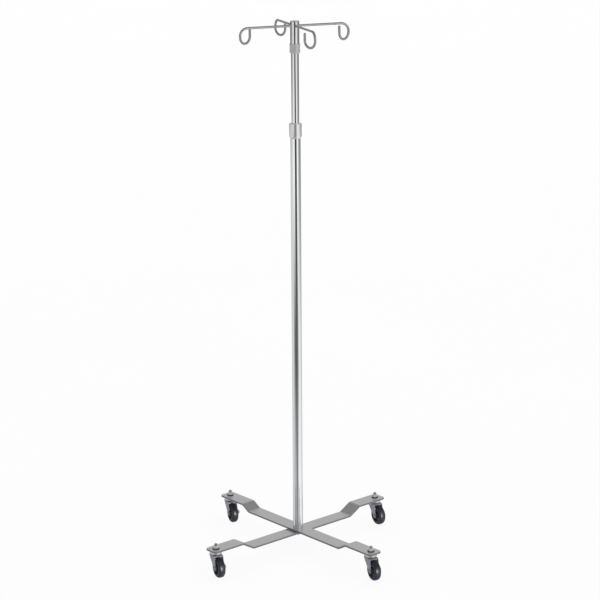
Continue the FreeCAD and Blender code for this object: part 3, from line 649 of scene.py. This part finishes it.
for corner in corners:
    bm = bmesh.new()
    turned(bm, [(TYRE_BORE, -TYRE_HALF), (WHEEL_R, -TYRE_HALF), (WHEEL_R, TYRE_HALF),
                (TYRE_BORE, TYRE_HALF)], 96)
    shoulders = [e for e in bm.edges
                 if all(abs(math.hypot(v.co.x, v.co.y) - WHEEL_R) < 0.01 for v in e.verts)
                 and abs(e.verts[0].co.z - e.verts[1].co.z) < 0.01]
    round_over(bm, shoulders, TREAD_ROUND, 10)
    bmesh.ops.bisect_plane(bm, geom=bm.verts[:] + bm.edges[:] + bm.faces[:], dist=0.0001,
                           plane_co=(0, 0, 0), plane_no=(0, 0, 1))
    parting = [e for e in bm.edges
               if all(abs(v.co.z) < 0.001 and v.co.to_2d().length > TREAD_INSIDE for v in e.verts)]
    round_over(bm, parting, PARTING_WIDTH, 2)
    ridge = [v for v in bm.verts if abs(v.co.z) < 0.001 and v.co.to_2d().length > TREAD_INSIDE]
    bmesh.ops.scale(bm, vec=(PARTING_RISE, PARTING_RISE, 1), verts=ridge)
    on_axle(bm, bm.verts[:], corner)
    at_corner(bm, corner)
    tyres.append(set_in_place(bm, corner + "_tyre_moulded", corner + "_tyre", "black_tyre",
                              glossy_black))

    bm = bmesh.new()
    near_side = [(radius, -half) for radius, half in CORE_HALF]
    turned(bm, near_side + CORE_HALF[::-1], 64)
    break_edges(bm, 0.5, 3)
    on_axle(bm, bm.verts[:], corner)
    at_corner(bm, corner)
    set_in_place(bm, corner + "_core_moulded", corner + "_wheel_core", "black_wheel_core",
                 moulded_black)


# ---- Floor ----
# A plain pale floor, matt and very slightly uneven in tone. Most of its brightness is its own,
# so that hardly any shadow shows, and the chrome doesn't mirror it.
FLOOR_HALF = 60            # metres
bm = bmesh.new()
bmesh.ops.create_grid(bm, x_segments=2, y_segments=2, size=FLOOR_HALF)
floor_mesh = bpy.data.meshes.new("floor")
bm.to_mesh(floor_mesh)
bm.free()
floor = bpy.data.objects.new("floor", floor_mesh)
bpy.context.scene.collection.objects.link(floor)
pale_floor = bpy.data.materials.new("pale_floor")
pale_floor.use_nodes = True
floor_nodes = pale_floor.node_tree.nodes
floor_links = pale_floor.node_tree.links
floor_place = floor_nodes.new("ShaderNodeTexCoord")
floor_drift = floor_nodes.new("ShaderNodeTexNoise")
floor_drift.inputs["Scale"].default_value = 0.8
floor_links.new(floor_place.outputs["Object"], floor_drift.inputs["Vector"])
floor_tone = floor_nodes.new("ShaderNodeValToRGB")
floor_tone.color_ramp.elements[0].color = (0.085, 0.085, 0.085, 1)
floor_tone.color_ramp.elements[1].color = (0.100, 0.100, 0.100, 1)
floor_links.new(floor_drift.outputs["Fac"], floor_tone.inputs["Fac"])
floor_surface = floor_nodes["Principled BSDF"]
floor_links.new(floor_tone.outputs["Color"], floor_surface.inputs["Base Color"])
floor_surface.inputs["Roughness"].default_value = 0.9
floor_surface.inputs["Specular IOR Level"].default_value = 0.1
floor_surface.inputs["Emission Color"].default_value = (1, 1, 1, 1)
floor_surface.inputs["Emission Strength"].default_value = 0.90
floor.data.materials.append(pale_floor)
floor.visible_glossy = False


# ---- Studio surround ----
# Soft white walls of light to the left and right with a dim gap between them at the front,
# greyer at the back and overhead, so that round chromed pieces show a dark middle stripe.
WALL_STRENGTH = 2.0        # ramp colours stop at 1, so they are halved and made up again here
surround = bpy.data.worlds.new("soft_studio")
bpy.context.scene.world = surround
surround.use_nodes = True
sky = surround.node_tree.nodes
sky_links = surround.node_tree.links
sky.clear()


def sky_math(operation, first, second):
    """One step of arithmetic on the surround's direction."""
    step = sky.new("ShaderNodeMath")
    step.operation = operation
    for socket, value in zip(step.inputs, (first, second)):
        if isinstance(value, (int, float)):
            socket.default_value = value
        else:
            sky_links.new(value, socket)
    return step.outputs["Value"]


def wall_of_light(bearing, stops):
    """Brightness round the studio: stops are (degrees from the front, right positive; brightness)."""
    ramp = sky.new("ShaderNodeValToRGB")
    ramp.color_ramp.interpolation = "LINEAR"
    points = ramp.color_ramp.elements
    while len(points) > 1:
        points.remove(points[-1])
    for n, (degrees, brightness) in enumerate(stops):
        point = points[0] if n == 0 else points.new((degrees + 180) / 360)
        point.position = (degrees + 180) / 360
        grey = brightness / WALL_STRENGTH
        point.color = (grey, grey, grey, 1)
    sky_links.new(bearing, ramp.inputs["Fac"])
    return ramp.outputs["Color"]


def fade(share, first, second):
    """Mixes two colours by a share; sockets 6 and 7 are the mix node's two colours."""
    mix = sky.new("ShaderNodeMix")
    mix.data_type = "RGBA"
    sky_links.new(share, mix.inputs[0])
    sky_links.new(first, mix.inputs[6])
    sky_links.new(second, mix.inputs[7])
    return mix.outputs[2]


def share_between(value, start, end):
    """0 at the start height of a fade, 1 at its end, both sines of the angle above level."""
    span = sky.new("ShaderNodeMapRange")
    span.clamp = True
    span.inputs["From Min"].default_value = start
    span.inputs["From Max"].default_value = end
    sky_links.new(value, span.inputs["Value"])
    return span.outputs["Result"]


looking = sky.new("ShaderNodeTexCoord")
parts = sky.new("ShaderNodeSeparateXYZ")
sky_links.new(looking.outputs["Generated"], parts.inputs[0])
to_front = sky_math("MULTIPLY", parts.outputs["Y"], -1.0)
bearing = sky_math("ARCTAN2", parts.outputs["X"], to_front)
bearing = sky_math("ADD", sky_math("DIVIDE", bearing, math.tau), 0.5)
up = parts.outputs["Z"]
high_wall = wall_of_light(bearing, [(-180, 0.40), (-120, 0.70), (-75, 0.78), (-35, 1.15),
                                    (-16, 1.00), (-9, 0.04), (24, 0.04), (34, 1.15), (56, 1.05),
                                    (80, 0.42), (130, 0.30), (180, 0.40)])
middle_wall = wall_of_light(bearing, [(-180, 0.50), (-120, 0.78), (-68, 0.78), (-50, 0.30),
                                      (-20, 0.07), (10, 0.15), (32, 0.20), (44, 0.80), (80, 1.05),
                                      (110, 0.72), (180, 0.50)])
low_wall = wall_of_light(bearing, [(-180, 0.60), (-110, 0.82), (-60, 0.58), (-34, 0.60),
                                   (-14, 0.30), (14, 0.28), (26, 0.95), (56, 1.15), (110, 0.85),
                                   (180, 0.60)])
top_wall = wall_of_light(bearing, [(-180, 0.06), (-105, 0.12), (-72, 0.55), (-45, 0.95),
                                   (-22, 0.70), (-10, 0.05), (16, 0.05), (26, 1.10), (52, 0.90),
                                   (72, 0.40), (110, 0.22), (180, 0.06)])
sky_wall = wall_of_light(bearing, [(-180, 0.74), (-158, 0.62), (-140, 0.34), (-90, 0.45),
                                   (-30, 0.45), (20, 0.55), (35, 0.90), (65, 0.90),
                                   (100, 0.55), (150, 0.62), (180, 0.74)])
ceiling = wall_of_light(bearing, [(-180, 0.30), (-90, 0.34), (0, 0.28), (90, 0.34), (180, 0.30)])
ground = wall_of_light(bearing, [(-180, 0.35), (-90, 0.45), (0, 0.40), (60, 0.80), (180, 0.35)])
walls = fade(share_between(up, -0.20, -0.27), high_wall, middle_wall)
walls = fade(share_between(up, -0.285, -0.335), walls, low_wall)
walls = fade(share_between(up, -0.19, -0.135), walls, top_wall)
walls = fade(share_between(up, -0.08, 0.0), walls, sky_wall)
walls = fade(share_between(up, 0.42, 0.72), walls, ceiling)
walls = fade(share_between(up, -0.38, -0.46), walls, ground)
lit = sky.new("ShaderNodeBackground")
sky_links.new(walls, lit.inputs["Color"])
lit.inputs["Strength"].default_value = WALL_STRENGTH
backdrop = sky.new("ShaderNodeBackground")
backdrop.inputs["Color"].default_value = (0.98, 0.98, 0.98, 1)
seen = sky.new("ShaderNodeLightPath")
either = sky.new("ShaderNodeMixShader")
sky_links.new(seen.outputs["Is Camera Ray"], either.inputs["Fac"])
sky_links.new(lit.outputs["Background"], either.inputs[1])
sky_links.new(backdrop.outputs["Background"], either.inputs[2])
out = sky.new("ShaderNodeOutputWorld")
sky_links.new(either.outputs["Shader"], out.inputs["Surface"])


# ---- Studio lights ----
# A very wide soft light from overhead for the matt faces, and a narrow light from the front
# that falls only on the tyres, where it makes their one soft highlight.
daylight = bpy.data.lights.new("overhead_light", "SUN")
daylight.energy = 1.4
daylight.angle = math.radians(120)
overhead = bpy.data.objects.new("overhead_light", daylight)
overhead.visible_glossy = False
bpy.context.scene.collection.objects.link(overhead)

front_light = bpy.data.lights.new("front_light", "SUN")
front_light.energy = 6.5
front_light.angle = math.radians(10)
key = bpy.data.objects.new("front_light", front_light)
key.matrix_world = (Matrix.Rotation(math.radians(24), 4, "Z")
                    @ Matrix.Rotation(math.radians(86), 4, "X"))
bpy.context.scene.collection.objects.link(key)
lit_by_front_light = bpy.data.collections.new("lit_by_front_light")
for tyre in tyres:
    lit_by_front_light.objects.link(tyre)
key.light_linking.receiver_collection = lit_by_front_light


# ---- Camera ----
# A long lens five metres away and a little above head height, slightly to the right of the
# stand's middle line, looking down at it.
CAMERA_AWAY = 5.011
CAMERA_HEIGHT = 1.987
CAMERA_BEARING = math.radians(3.65)
CAMERA_PITCH = math.radians(14.74)
CAMERA_ROLL = math.radians(-0.38)
lens = bpy.data.cameras.new("studio_camera")
lens.lens = 123.96
lens.sensor_width = 36.0
lens.shift_x = 0.0058
lens.shift_y = -0.0040
lens.clip_end = 200.0
camera = bpy.data.objects.new("studio_camera", lens)
camera.matrix_world = (
    Matrix.Translation((CAMERA_AWAY * math.sin(CAMERA_BEARING),
                        -CAMERA_AWAY * math.cos(CAMERA_BEARING), CAMERA_HEIGHT))
    @ Matrix.Rotation(CAMERA_BEARING, 4, "Z")
    @ Matrix.Rotation(math.radians(90) - CAMERA_PITCH, 4, "X")
    @ Matrix.Rotation(CAMERA_ROLL, 4, "Z"))
bpy.context.scene.collection.objects.link(camera)
bpy.context.scene.camera = camera
bpy.context.scene.view_settings.view_transform = "Standard"
